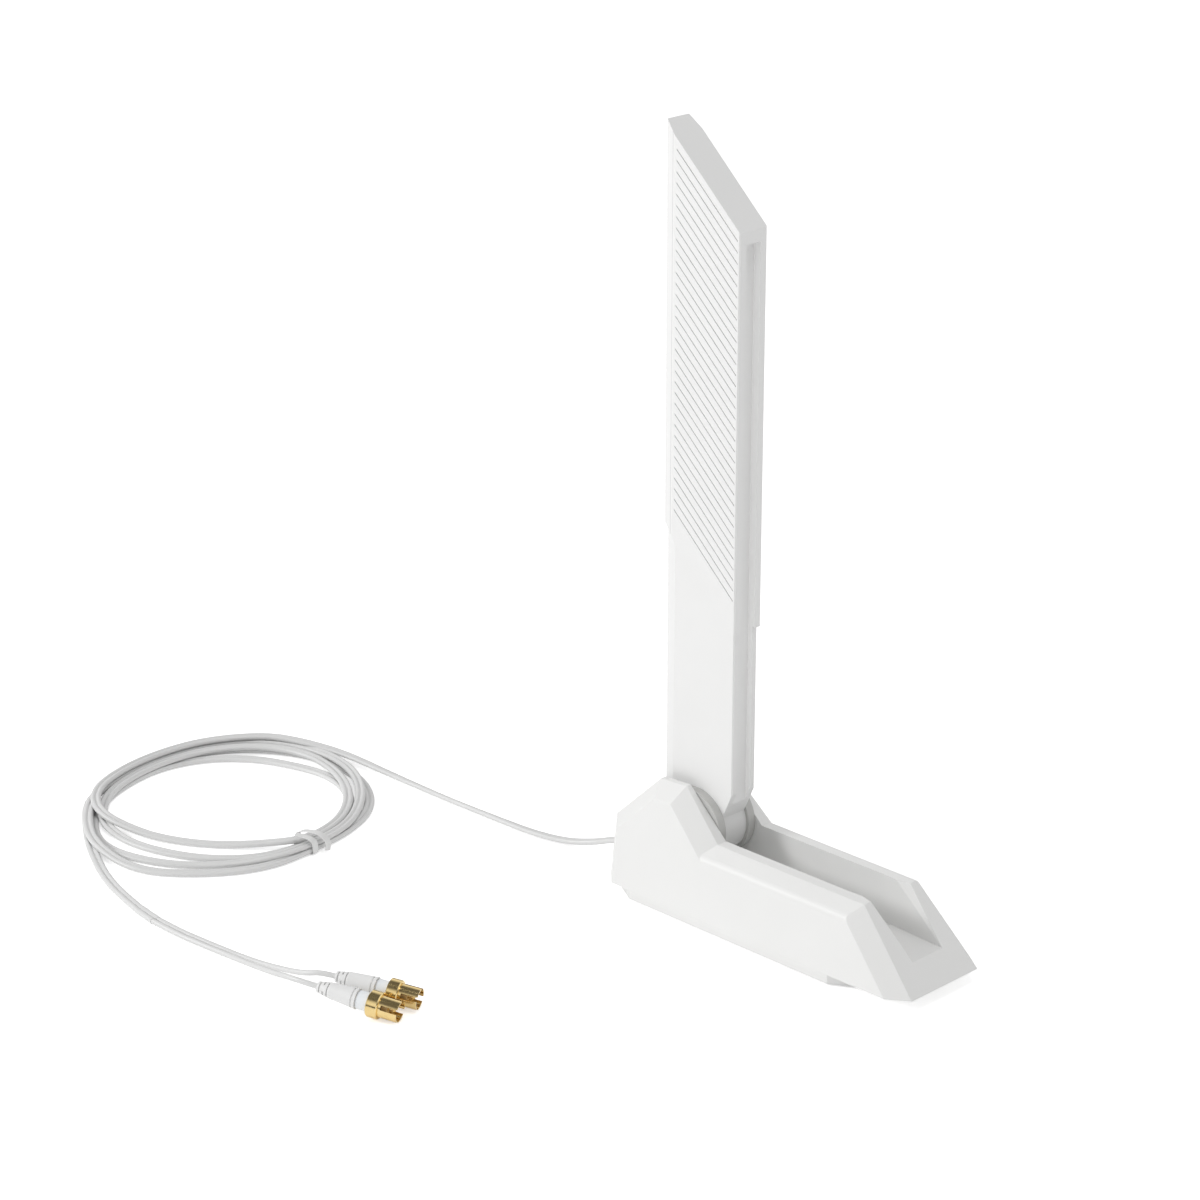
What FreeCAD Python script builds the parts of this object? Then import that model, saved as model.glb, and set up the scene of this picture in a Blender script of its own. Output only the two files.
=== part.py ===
import FreeCAD, Part
import math
import os
from FreeCAD import Placement, Rotation, Vector

# Folding Wi-Fi antenna: a hinged blade on a raked base, with a twin coaxial lead in a loose coil.
# Millimetres. +Z is up, the nose points to -Y, and the origin is under the middle of the base.

# Base housing
BASE_LENGTH = 129.4
BASE_HALF_WIDTH = 20.6
WALL_LEAN = 0.14
PLINTH_HEIGHT = 4.8
BASE_TOP = 28.6
FRONT_RAKE = 46.2
EAR_FOOT = 44.7
EAR_TOP = 43.5
EAR_RAKE = 43.3
EAR_TOP_LENGTH = 11.3
EAR_TOP_DROP = 0.7
REAR_SLOPE = 44.2
BEVEL_INSET = 5.1
SHOULDER_DROP = 3.6
BEVEL_WIDTH = 4.9
SHOULDER_ROUND = 4.0
HOUSING_EDGE = 0.5
SMOOTH_ANGLE = 0.05
SHELL_WALL = 2.0

# Channel that takes the folded blade
CHANNEL_HALF = 8.45
CHANNEL_FLOOR = 12.5
NOTCH_HALF = 7.0
TAPER_START = 9.9
NOTCH_FLARE_HALF = 9.35
NOTCH_FLARE_BACK = 4.7
FLARE_REACH = 1.2
STOP_GAP = 0.6

# Base plate, foot pad, magnets and screws
PLATE_HALF_WIDTH = 18.7
PLATE_FRONT_SETBACK = 23.1
PLATE_REAR_SETBACK = 2.7
PLATE_CORNER_X = 5.0
PLATE_CORNER_Y = 8.8
COVER_THICKNESS = 1.2
COVER_GAP = 0.15
PAD_MARGIN = 3.2
PAD_THICKNESS = 1.0
PAD_PROUD = 0.4
PAD_GAP = 0.1
MAGNET_R = 7.0
MAGNET_THICKNESS = 2.4
MAGNET_PLACES = (-18.0, 30.0)
BOSS_X = 13.6
BOSS_PLACES = (-24.0, 20.0)
BOSS_R = 2.8
SCREW_R = 1.2
SCREW_LENGTH = 9.5
SCREW_HEAD_R = 2.4
SCREW_HEAD = 1.4
SCREW_GAP = 0.05
SCREW_CLEARANCE = 0.25

# Hinge
PIVOT_SETBACK = 29.2
PIVOT_Z = 29.0
BUSH_R = 3.0
BUSH_BORE = 1.6
RUNNING_GAP = 0.05
DISC_R = 12.6
DISC_GAP = 0.15

# Blade
STEM_FRONT = 14.9
STEM_REAR = 15.5
STEM_HALF = 5.35
ROOT_RISE = 14.4
ROOT_HEEL = 6.0
BARREL_R = 11.5
BARREL_FRONT_ANGLE = 156.0
BARREL_REAR_ANGLE = -12.0
PANEL_PROUD = 0.75
BLADE_TOP = 257.6
TOP_SLANT = 43.1
PANEL_LENGTH = 129.3
REAR_BEVEL_DEPTH = 4.4
REAR_BEVEL_STEP = 1.4
STEM_FRONT_CHAMFER = 0.4
PANEL_FRONT_CHAMFER = 0.4
GROOVE_HALF = 3.2
GROOVE_DEPTH = 2.8
GROOVE_TOP_MARGIN = 4.0
BLADE_WALL = 1.6
CAVITY_TOP_MARGIN = 3.2
CAVITY_STEP_MARGIN = 6.4
LINE_COUNT = 34
LINE_PITCH = 3.5
LINE_WIDTH = 0.45
LINE_DEPTH = 0.3
LINE_TOP_MARGIN = 3.2
LINE_SIDE_MARGIN = 0.9

# Antenna board and the leads inside
BOARD_THICKNESS = 1.0
BOARD_WIDTH = 18.0
BOARD_LENGTH = 132.0
BOARD_BOTTOM = 78.0
POST_GAP = 0.2
POST_HEIGHTS = (20.0, 66.0, 112.0)
COPPER = 0.12
DIPOLE_WIDTH = 3.0
DIPOLE_LENGTH = 26.0
SOLDER_RUN = 40.0
COAX_R = 0.9
BEND_R = 4.0
LEAD_WALL_GAP = 2.25
LEAD_FLOOR = 8.2

# Grommet and free cords
GROMMET_HALF_WIDTH = 3.2
GROMMET_HALF_HEIGHT = 2.3
GROMMET_LENGTH = 5.0
GROMMET_TIP_TAPER = 0.75
GROMMET_FLANGE = 1.0
EXIT_Z = 9.5
TWIN_R = 1.3
ARC_SHARE = 0.45
COIL_CENTRE = (-63.0, 201.5)
COIL_OUTER_R = 51.5
COIL_INNER_R = 38.0
COIL_HEIGHT = 7.5
COIL_EDGE = 2.0
FAN_CENTRE = (-72.5, 195.5)
FAN_R = 50.0
TIE_WIDTH = 3.2
TIE_WALL = 0.8
TIE_SPAN = (-50.5, -41.5)
SLEEVE_HALF_WIDTH = 2.3
SLEEVE_HALF_HEIGHT = 1.3
SLEEVE_START = Vector(-137.6, 158.5, 1.35)
SLEEVE_END = Vector(-139.0, 148.7, 1.35)
SINGLE_SPREAD = 0.95
SINGLE_LEAD_IN = 5.0

# Push-on coaxial plug, along its axis from the cord end
PLUG_BOOT_LENGTH = 17.5
PLUG_TAIL_R = 1.75
PLUG_TAIL_LENGTH = 4.4
PLUG_SHOULDER_R = 2.6
PLUG_BODY_R = 3.3
PLUG_NECK_R = 2.95
PLUG_NECK_LENGTH = 4.1
BOOT_RING_DEPTH = 0.45
BOOT_RING_WIDTH = 0.45
TAIL_SLITS = (0.7, 2.1, 3.5)
TAIL_SLIT_DEPTH = 0.7
TAIL_SLIT_SWEEP = 125
NECK_RING = 1.4
COLLAR_R = 4.3
COLLAR_LENGTH = 3.8
COLLAR_EDGE = 0.3
SLEEVE_R = 3.45
SLEEVE_BORE = 2.95
SLEEVE_LENGTH = 6.3
SLEEVE_SLOT_WIDTH = 1.5
SLEEVE_SLOT_LENGTH = 5.4
SLEEVE_SLOT_TURNS = (72, 162)
INSULATOR_R = 2.0
INSULATOR_LENGTH = 2.4
CONTACT_R = 0.65
CONTACT_LENGTH = 4.8
FLOOR_GAP = 0.02
FRONT_PLUG_TAIL = (-139.6, 67.6)
FRONT_PLUG_HEADING = (39.5, -90.9)
REAR_PLUG_TAIL = (-131.2, 68.9)
REAR_PLUG_HEADING = (44.9, -88.4)

# Values worked out from the sizes above
HALF_LENGTH = BASE_LENGTH / 2
PIVOT_Y = HALF_LENGTH - PIVOT_SETBACK
NOSE_TOP_Y = -HALF_LENGTH + (BASE_TOP - PLINTH_HEIGHT) / math.tan(math.radians(FRONT_RAKE))
NOTCH_Y = -HALF_LENGTH + (CHANNEL_FLOOR - PLINTH_HEIGHT) / math.tan(math.radians(FRONT_RAKE))
CREASE_Y = NOSE_TOP_Y + TAPER_START
PANEL_HALF = STEM_HALF + PANEL_PROUD
STEM_FRONT_Y = PIVOT_Y - STEM_FRONT
STEM_REAR_Y = PIVOT_Y + STEM_REAR
PANEL_FRONT_Y = STEM_FRONT_Y - PANEL_PROUD
PANEL_REAR_Y = STEM_REAR_Y + PANEL_PROUD
SLANT = math.tan(math.radians(TOP_SLANT))
SLOT_REAR_Y = STEM_REAR_Y + STOP_GAP
STEM_CAVITY = STEM_HALF - BLADE_WALL
PANEL_CAVITY = PANEL_HALF - BLADE_WALL
GROOVE_FLOOR_Y = PANEL_FRONT_Y + GROOVE_DEPTH
BOARD_Y = PIVOT_Y
DIPOLE_LANE = BOARD_WIDTH / 2 - DIPOLE_WIDTH
POST_LANE = (COAX_R + DIPOLE_LANE - DIPOLE_WIDTH / 2) / 2
POST_R = POST_LANE - COAX_R - POST_GAP
EAR_WALL_X = CHANNEL_HALF + SHELL_WALL
LEAD_X = EAR_WALL_X + LEAD_WALL_GAP
PLATE_BOTTOM = PAD_PROUD
PAD_SEAT = PAD_THICKNESS
HEAD_SEAT = PAD_SEAT + SCREW_HEAD
REAR_WALL_Y = HALF_LENGTH - SHELL_WALL
GROMMET_TIP_Y = HALF_LENGTH + GROMMET_LENGTH

# Routes of the free cords, from end to end
TWIN_LEAD_ROUTE = [
    Vector(0, GROMMET_TIP_Y, EXIT_Z),
    Vector(-0.2, 77.5, 8.0),
    Vector(-0.9, 86.5, 4.0),
    Vector(-3.6, 97.0, 1.5),
    Vector(-6.4, 110.5, 1.35),
    Vector(-7.4, 129.0, 1.35),
    Vector(-8.2, 154.0, 1.35),
    Vector(-7.8, 183.0, 1.35),
    Vector(-8.6, 207.0, 2.6),
    Vector(-14.5, 224.0, 4.2),
    Vector(-25.0, 234.0, 4.4),
]
TWIN_TAIL_ROUTE = [
    Vector(-113.5, 216.5, 2.2),
    Vector(-122.5, 202.5, 1.35),
    Vector(-130.0, 187.0, 1.35),
    Vector(-134.8, 171.5, 1.35),
    SLEEVE_START,
]
FRONT_SINGLE_MIDDLE = [
    Vector(-140.0, 136.5, 0.95),
    Vector(-139.1, 124.5, 0.95),
    Vector(-138.6, 112.5, 1.4),
    Vector(-140.1, 100.6, 3.2),
    Vector(-141.8, 88.0, 5.6),
    Vector(-142.2, 78.0, 7.3),
]
REAR_SINGLE_MIDDLE = [
    Vector(-138.0, 137.5, 0.95),
    Vector(-137.1, 125.5, 0.95),
    Vector(-136.2, 114.5, 1.0),
    Vector(-135.9, 104.5, 1.6),
    Vector(-135.8, 94.6, 2.9),
    Vector(-135.9, 84.8, 4.8),
    Vector(-135.4, 78.4, 6.2),
]


def face_of(points):
    return Part.Face(Part.makePolygon(points + [points[0]]))


def prism_x(outline, low, high):
    """Extrudes an outline of (y, z) points from x = low to x = high."""
    return face_of([Vector(low, y, z) for y, z in outline]).extrude(Vector(high - low, 0, 0))


def prism_z(outline, low, high):
    """Extrudes an outline of (x, y) points from z = low to z = high."""
    return face_of([Vector(x, y, low) for x, y in outline]).extrude(Vector(0, 0, high - low))


def block(low, high):
    size = Vector(*high) - Vector(*low)
    return Part.makeBox(size.x, size.y, size.z, Vector(*low))


def rod(start, end, radius):
    return Part.makeCylinder(radius, (end - start).Length, start, end - start)


def disc_x(radius, low, high):
    """A disc about the hinge axis, between two stations along it."""
    return rod(Vector(low, PIVOT_Y, PIVOT_Z), Vector(high, PIVOT_Y, PIVOT_Z), radius)


def inset(outline, steps):
    """Moves each edge of a clockwise (y, z) outline inwards by its own step."""
    lines = []
    for index, (y, z) in enumerate(outline):
        next_y, next_z = outline[(index + 1) % len(outline)]
        length = math.hypot(next_y - y, next_z - z)
        run, rise = (next_y - y) / length, (next_z - z) / length
        lines.append((y + rise * steps[index], z - run * steps[index], run, rise))
    moved = []
    for index, (y, z, run, rise) in enumerate(lines):
        last_y, last_z, last_run, last_rise = lines[index - 1]
        reach = ((y - last_y) * rise - (z - last_z) * run) / (last_run * rise - last_rise * run)
        moved.append((last_y + last_run * reach, last_z + last_rise * reach))
    return moved


def closed(outlines):
    """A solid bounded by flat faces, each given by its corners."""
    solid = Part.Solid(Part.Shell([face_of(outline) for outline in outlines]))
    if solid.Volume < 0:
        solid.reverse()
    return solid


def skin(sections):
    """A solid over planar quads between matching sections, closed by its first and last section."""
    outlines = [sections[0], sections[-1]]
    count = len(sections[0])
    for near, far in zip(sections, sections[1:]):
        for index in range(count):
            after = (index + 1) % count
            outlines.append([near[index], near[after], far[after], far[index]])
    return closed(outlines)


def side_outline():
    """The housing from the side: nose, channel top, ear rake, ear top, rear slope and rear wall."""
    ear_foot = HALF_LENGTH - EAR_FOOT
    ear_tip = ear_foot + (EAR_TOP - BASE_TOP) / math.tan(math.radians(EAR_RAKE))
    ear_back = ear_tip + EAR_TOP_LENGTH
    ear_back_z = EAR_TOP - EAR_TOP_DROP
    rear_z = ear_back_z - (HALF_LENGTH - ear_back) * math.tan(math.radians(REAR_SLOPE))
    return [
        (-HALF_LENGTH, PLINTH_HEIGHT),
        (NOSE_TOP_Y, BASE_TOP),
        (ear_foot, BASE_TOP),
        (ear_tip, EAR_TOP),
        (ear_back, ear_back_z),
        (HALF_LENGTH, rear_z),
        (HALF_LENGTH, PLINTH_HEIGHT),
    ]


def bevelled_body(margin, drop):
    """The housing's outer form, drawn in by a margin all round and lowered at its open underside."""
    outline = side_outline()
    sides = len(outline) - 1
    broad = inset(outline, [margin] * sides + [-drop])
    bevels = [BEVEL_INSET, SHOULDER_DROP] + [BEVEL_INSET] * (sides - 2)
    narrow = inset(outline, [margin + step for step in bevels] + [-drop])
    wall = BASE_HALF_WIDTH - margin
    sections = []
    for side, reach, shape in ((-1, wall, narrow), (-1, wall - BEVEL_WIDTH, broad),
                               (1, wall - BEVEL_WIDTH, broad), (1, wall, narrow)):
        sections.append([Vector(side * (reach - WALL_LEAN * (z - PLINTH_HEIGHT)), y, z) for y, z in shape])
    return skin(sections)


def channel_plan(grow):
    """The channel from above: parallel between the ears, then narrowing to the front notch."""
    rear = SLOT_REAR_Y + grow
    wide = CHANNEL_HALF + grow
    narrow = NOTCH_HALF + grow
    front = -BASE_LENGTH
    return [(-wide, rear), (wide, rear), (wide, CREASE_Y), (narrow, NOTCH_Y),
            (narrow, front), (-narrow, front), (-narrow, NOTCH_Y), (-wide, CREASE_Y)]


def notch_flare(side):
    """A wedge that opens one side of the front notch towards its top."""
    foot = Vector(side * NOTCH_HALF, NOTCH_Y, CHANNEL_FLOOR)
    back = NOSE_TOP_Y + NOTCH_FLARE_BACK
    share = (back - NOTCH_Y) / (CREASE_Y - NOTCH_Y)
    wall = NOTCH_HALF + (CHANNEL_HALF - NOTCH_HALF) * share
    corners = [(NOTCH_FLARE_HALF, NOSE_TOP_Y), (wall, back), (0, NOSE_TOP_Y - NOTCH_FLARE_BACK)]
    tips = [foot + (Vector(side * x, y, BASE_TOP) - foot) * FLARE_REACH for x, y in corners]
    return closed([tips] + [[foot, tips[index - 1], tips[index]] for index in range(3)])


def boss_centres():
    return [(side * BOSS_X, y) for side in (-1, 1) for y in BOSS_PLACES]


def level_at(edge, height):
    box = edge.BoundBox
    return box.ZLength < 0.01 and abs(box.ZMin - height) < 0.01


def sharp(body, edge):
    """True where the two faces that meet at an edge don't run smoothly into each other."""
    first, second = body.ancestorsOfType(edge, Part.Face)
    middle = edge.valueAt((edge.FirstParameter + edge.LastParameter) / 2)
    normals = []
    for face in (first, second):
        u, v = face.Surface.parameter(middle)
        normals.append(face.normalAt(u, v))
    return normals[0].getAngle(normals[1]) > SMOOTH_ANGLE


def rounded_form():
    """The outer form with its soft shoulders and its small moulded edge rounds."""
    body = bevelled_body(0, 0)
    shoulder_z = BASE_TOP - SHOULDER_DROP
    soft = [edge for edge in body.Edges if level_at(edge, shoulder_z)]
    body = body.makeFillet(SHOULDER_ROUND, soft)
    crisp = [edge for edge in body.Edges if sharp(body, edge) and not level_at(edge, PLINTH_HEIGHT)]
    return body.makeFillet(HOUSING_EDGE, crisp)


def base_housing():
    """One moulding: channel, ears and raked nose, hollow under its skin and open below."""
    outer = rounded_form()
    channel_core = prism_z(channel_plan(SHELL_WALL), CHANNEL_FLOOR - SHELL_WALL, BLADE_TOP)
    cavity = bevelled_body(SHELL_WALL, SHELL_WALL).cut(channel_core)
    bosses = [Part.makeCylinder(BOSS_R, EAR_TOP, Vector(x, y, PLINTH_HEIGHT)) for x, y in boss_centres()]
    cavity = cavity.cut(bosses)
    pilots = []
    for x, y in boss_centres():
        foot = Vector(x, y, PLINTH_HEIGHT - SHELL_WALL)
        pilots.append(Part.makeCylinder(SCREW_R + SCREW_GAP, SCREW_LENGTH + SHELL_WALL, foot))
    channel = prism_z(channel_plan(0), CHANNEL_FLOOR, BLADE_TOP)
    reach = EAR_WALL_X + SHELL_WALL / 2
    bearing = disc_x(BUSH_R + RUNNING_GAP, -reach, reach)
    cord_hole = stadium(GROMMET_HALF_WIDTH, GROMMET_HALF_HEIGHT, REAR_WALL_Y - SHELL_WALL, BASE_LENGTH)
    flares = [notch_flare(-1), notch_flare(1)]
    return outer.cut([cavity, channel, bearing, cord_hole] + flares + pilots)


def plate_outline(margin):
    front = -HALF_LENGTH + PLATE_FRONT_SETBACK + margin
    rear = HALF_LENGTH - PLATE_REAR_SETBACK - margin
    wide = PLATE_HALF_WIDTH - margin
    narrow = wide - PLATE_CORNER_X
    return [(-narrow, front), (narrow, front), (wide, front + PLATE_CORNER_Y), (wide, rear - PLATE_CORNER_Y),
            (narrow, rear), (-narrow, rear), (-wide, rear - PLATE_CORNER_Y), (-wide, front + PLATE_CORNER_Y)]


def base_cover():
    """The thin floor that fills the housing's open underside, round the screw bosses."""
    top = PLINTH_HEIGHT + COVER_THICKNESS
    layer = block((-BASE_HALF_WIDTH, -HALF_LENGTH, PLINTH_HEIGHT), (BASE_HALF_WIDTH, HALF_LENGTH, top))
    cover = bevelled_body(SHELL_WALL + COVER_GAP, SHELL_WALL).common(layer)
    bosses = [Part.makeCylinder(BOSS_R + COVER_GAP, COVER_THICKNESS, Vector(x, y, PLINTH_HEIGHT))
              for x, y in boss_centres()]
    return cover.cut(bosses)


def base_plate():
    """The plinth and its cover: closes the housing from below, with magnet pockets and screw seats."""
    plate = prism_z(plate_outline(0), PLATE_BOTTOM, PLINTH_HEIGHT).fuse(base_cover())
    cuts = [prism_z(plate_outline(PAD_MARGIN - PAD_GAP), PLATE_BOTTOM, PAD_SEAT)]
    for y in MAGNET_PLACES:
        seat = Vector(0, y, PLINTH_HEIGHT - MAGNET_THICKNESS)
        cuts.append(Part.makeCylinder(MAGNET_R + PAD_GAP, MAGNET_THICKNESS + COVER_THICKNESS, seat))
    for x, y in boss_centres():
        cuts.append(Part.makeCylinder(SCREW_R + SCREW_CLEARANCE, PLINTH_HEIGHT, Vector(x, y, 0)))
        cuts.append(Part.makeCylinder(SCREW_HEAD_R + SCREW_CLEARANCE, HEAD_SEAT, Vector(x, y, 0)))
    return plate.cut(cuts).removeSplitter()


def foot_pad():
    return prism_z(plate_outline(PAD_MARGIN), 0, PAD_SEAT)


def base_magnets():
    seat = PLINTH_HEIGHT - MAGNET_THICKNESS
    return Part.makeCompound([Part.makeCylinder(MAGNET_R, MAGNET_THICKNESS, Vector(0, y, seat))
                              for y in MAGNET_PLACES])


def base_screws():
    screws = []
    for x, y in boss_centres():
        head = Part.makeCylinder(SCREW_HEAD_R, SCREW_HEAD, Vector(x, y, PAD_SEAT))
        shank = Part.makeCylinder(SCREW_R, SCREW_LENGTH, Vector(x, y, HEAD_SEAT))
        screws.append(head.fuse(shank))
    return Part.makeCompound(screws)


def slanted_outline(low_front, high_front, front, rear):
    """A (y, z) parallelogram whose ends rise to the rear at the blade's slant."""
    rise = (rear - front) * SLANT
    return [(front, low_front), (front, high_front), (rear, high_front + rise), (rear, low_front + rise)]


def blade_section(half, front, rear, front_chamfer):
    """The blade from above: a bar with small front chamfers and long shallow rear bevels."""
    narrow = half - REAR_BEVEL_STEP
    knee = rear - REAR_BEVEL_DEPTH
    nose = half - front_chamfer
    return [(-nose, front), (nose, front), (half, front + front_chamfer), (half, knee), (narrow, rear),
            (-narrow, rear), (-half, knee), (-half, front + front_chamfer)]


def panel_front_top():
    return BLADE_TOP - (PANEL_REAR_Y - PANEL_FRONT_Y) * SLANT


def barrel_point(angle):
    turn = math.radians(angle)
    return Vector(0, PIVOT_Y + BARREL_R * math.cos(turn), PIVOT_Z + BARREL_R * math.sin(turn))


def stem_profile():
    """The stem from the side: undercut front, round barrel about the hinge, heel and straight rear."""
    corner = Vector(0, STEM_FRONT_Y, PIVOT_Z + ROOT_RISE)
    heel = Vector(0, STEM_REAR_Y, PIVOT_Z + ROOT_HEEL)
    top_front = panel_front_top() - PANEL_LENGTH / 2
    rear_top = Vector(0, STEM_REAR_Y, top_front + (STEM_REAR_Y - STEM_FRONT_Y) * SLANT)
    front_top = Vector(0, STEM_FRONT_Y, top_front)
    front, rear = barrel_point(BARREL_FRONT_ANGLE), barrel_point(BARREL_REAR_ANGLE)
    under = barrel_point((BARREL_FRONT_ANGLE + BARREL_REAR_ANGLE + 360) / 2)
    edges = [Part.LineSegment(corner, front), Part.Arc(front, under, rear), Part.LineSegment(rear, heel),
             Part.LineSegment(heel, rear_top), Part.LineSegment(rear_top, front_top),
             Part.LineSegment(front_top, corner)]
    return Part.Face(Part.Wire([edge.toShape() for edge in edges]))


def blade_stem():
    profile = stem_profile()
    profile.translate(Vector(-PANEL_HALF, 0, 0))
    side = profile.extrude(Vector(2 * PANEL_HALF, 0, 0))
    plan = blade_section(STEM_HALF, STEM_FRONT_Y, STEM_REAR_Y, STEM_FRONT_CHAMFER)
    return side.common(prism_z(plan, 0, BLADE_TOP))


def blade_panel():
    top = panel_front_top()
    side = slanted_outline(top - PANEL_LENGTH, top, PANEL_FRONT_Y, PANEL_REAR_Y)
    plan = blade_section(PANEL_HALF, PANEL_FRONT_Y, PANEL_REAR_Y, PANEL_FRONT_CHAMFER)
    return prism_x(side, -PANEL_HALF, PANEL_HALF).common(prism_z(plan, 0, BLADE_TOP))


def engraved_lines():
    """Cutters for the slanted lines on both broad faces, stepped down from the top edge."""
    front = PANEL_FRONT_Y + LINE_SIDE_MARGIN
    rear = PANEL_REAR_Y - REAR_BEVEL_DEPTH - LINE_SIDE_MARGIN
    first = panel_front_top() + LINE_SIDE_MARGIN * SLANT - LINE_TOP_MARGIN
    cutters = []
    for index in range(LINE_COUNT):
        high = first - index * LINE_PITCH
        line = slanted_outline(high - LINE_WIDTH, high, front, rear)
        cutters.append(prism_x(line, PANEL_HALF - LINE_DEPTH, PANEL_HALF + LINE_DEPTH))
        cutters.append(prism_x(line, -PANEL_HALF - LINE_DEPTH, LINE_DEPTH - PANEL_HALF))
    return cutters


def front_groove():
    top = panel_front_top() - GROOVE_TOP_MARGIN
    return block((-GROOVE_HALF, 0, PIVOT_Z), (GROOVE_HALF, GROOVE_FLOOR_Y, top))


def blade_cavity():
    """The hollow inside the two shells, less the posts that hold the board."""
    front = GROOVE_FLOOR_Y + BLADE_WALL
    rear = STEM_REAR_Y - REAR_BEVEL_DEPTH
    top = panel_front_top() - CAVITY_TOP_MARGIN + (front - PANEL_FRONT_Y) * SLANT
    floor = PIVOT_Z + ROOT_RISE + BLADE_WALL
    step = top - PANEL_LENGTH + CAVITY_STEP_MARGIN
    rise = (rear - front) * SLANT
    stem = prism_x([(front, floor), (front, top), (rear, top + rise), (rear, floor)], -STEM_CAVITY, STEM_CAVITY)
    panel = prism_x(slanted_outline(step, top, front, rear), -PANEL_CAVITY, PANEL_CAVITY)
    throat_half = BUSH_BORE + BLADE_WALL / 2
    throat = block((-STEM_CAVITY, PIVOT_Y - throat_half, PIVOT_Z - throat_half),
                   (STEM_CAVITY, PIVOT_Y + throat_half, floor))
    posts = []
    for height in POST_HEIGHTS:
        for side in (-1, 1):
            centre = Vector(-PANEL_HALF, BOARD_Y + side * POST_LANE, BOARD_BOTTOM + height)
            posts.append(rod(centre, centre + Vector(2 * PANEL_HALF, 0, 0), POST_R))
    return stem.fuse([panel, throat]).cut(posts)


def board_form():
    half = BOARD_THICKNESS / 2
    return block((-half, BOARD_Y - BOARD_WIDTH / 2, BOARD_BOTTOM),
                 (half, BOARD_Y + BOARD_WIDTH / 2, BOARD_BOTTOM + BOARD_LENGTH))


def blade_shells():
    """The two half shells, split on the middle plane."""
    body = blade_stem().fuse(blade_panel()).removeSplitter()
    bore = disc_x(BUSH_R, -PANEL_HALF, PANEL_HALF)
    body = body.cut(engraved_lines() + [front_groove(), blade_cavity(), bore, board_form()])
    near = block((-BLADE_TOP, -BLADE_TOP, 0), (0, BLADE_TOP, 2 * BLADE_TOP))
    return body.common(near), body.cut(near)


def antenna_radiators():
    """Two printed dipoles on one face of the board, each a pair of arms with a feed gap."""
    face = BOARD_THICKNESS / 2
    feed = BOARD_BOTTOM + SOLDER_RUN + DIPOLE_WIDTH
    arms = []
    for lane in (-1, 1):
        y = BOARD_Y + lane * DIPOLE_LANE
        for arm in range(2):
            low = feed + arm * (DIPOLE_LENGTH + DIPOLE_WIDTH / 2)
            arms.append(block((face, y - DIPOLE_WIDTH / 2, low),
                              (face + COPPER, y + DIPOLE_WIDTH / 2, low + DIPOLE_LENGTH)))
    return Part.makeCompound(arms)


def hinge_bush(side):
    low, high = side * STEM_CAVITY, side * EAR_WALL_X
    return disc_x(BUSH_R, low, high).cut(disc_x(BUSH_BORE, low, high))


def friction_disc(side):
    low, high = side * STEM_HALF, side * (CHANNEL_HALF - DISC_GAP)
    return disc_x(DISC_R, low, high).cut(disc_x(BUSH_R, low, high))


def arc_path(points, radii):
    """A wire of straight runs joined by tangent arcs of the given radii, one for each inner point."""
    edges = []
    start = points[0]
    for index, radius in enumerate(radii, 1):
        corner = points[index]
        back = (points[index - 1] - corner).normalize()
        onward = (points[index + 1] - corner).normalize()
        half_angle = back.getAngle(onward) / 2
        trim = radius / math.tan(half_angle)
        enter, leave = corner + back * trim, corner + onward * trim
        inward = (back + onward).normalize()
        middle = corner + inward * (radius / math.sin(half_angle) - radius)
        edges.append(Part.LineSegment(start, enter).toShape())
        edges.append(Part.Arc(enter, middle, leave).toShape())
        start = leave
    edges.append(Part.LineSegment(start, points[-1]).toShape())
    return Part.Wire(edges)


def cord_radii(points):
    """The largest arcs that a route's runs allow."""
    radii = []
    for before, corner, after in zip(points, points[1:], points[2:]):
        turn = (corner - before).getAngle(after - corner)
        shorter = min((corner - before).Length, (after - corner).Length)
        radii.append(ARC_SHARE * shorter / math.tan(turn / 2))
    return radii


def tube(path, points, radius):
    ring = Part.Wire(Part.makeCircle(radius, points[0], points[1] - points[0]))
    return path.makePipeShell([ring], True, False)


def cord_tube(name, points, radius):
    radii = cord_radii(points)
    path = arc_path(points, radii)
    solid = tube(path, points, radius)
    section = math.pi * radius ** 2
    print(name, "length", round(path.Length, 1), "radii", [round(value, 1) for value in radii],
          "volume ratio", round(solid.Volume / (section * path.Length), 4))
    return solid


def blade_lead(side):
    """A coaxial lead from the board down the stem, turning out through its hinge bush."""
    x = side * (BOARD_THICKNESS / 2 + COAX_R)
    points = [Vector(x, PIVOT_Y, BOARD_BOTTOM + SOLDER_RUN), Vector(x, PIVOT_Y, PIVOT_Z),
              Vector(side * (EAR_WALL_X - SHELL_WALL / 2), PIVOT_Y, PIVOT_Z)]
    return tube(arc_path(points, [BEND_R]), points, COAX_R)


def base_lead(side):
    """The same lead inside the base: out of the bush, down in the ear and back to the grommet."""
    x = side * LEAD_X
    lane = side * SINGLE_SPREAD
    grommet_face = REAR_WALL_Y - GROMMET_FLANGE
    points = [Vector(side * (EAR_WALL_X - SHELL_WALL / 2), PIVOT_Y, PIVOT_Z), Vector(x, PIVOT_Y, PIVOT_Z),
              Vector(x, PIVOT_Y, LEAD_FLOOR), Vector(x, PIVOT_Y + LEAD_X, LEAD_FLOOR),
              Vector(lane, grommet_face - BEND_R, EXIT_Z), Vector(lane, grommet_face, EXIT_Z)]
    return tube(arc_path(points, cord_radii(points)), points, COAX_R)


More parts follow.
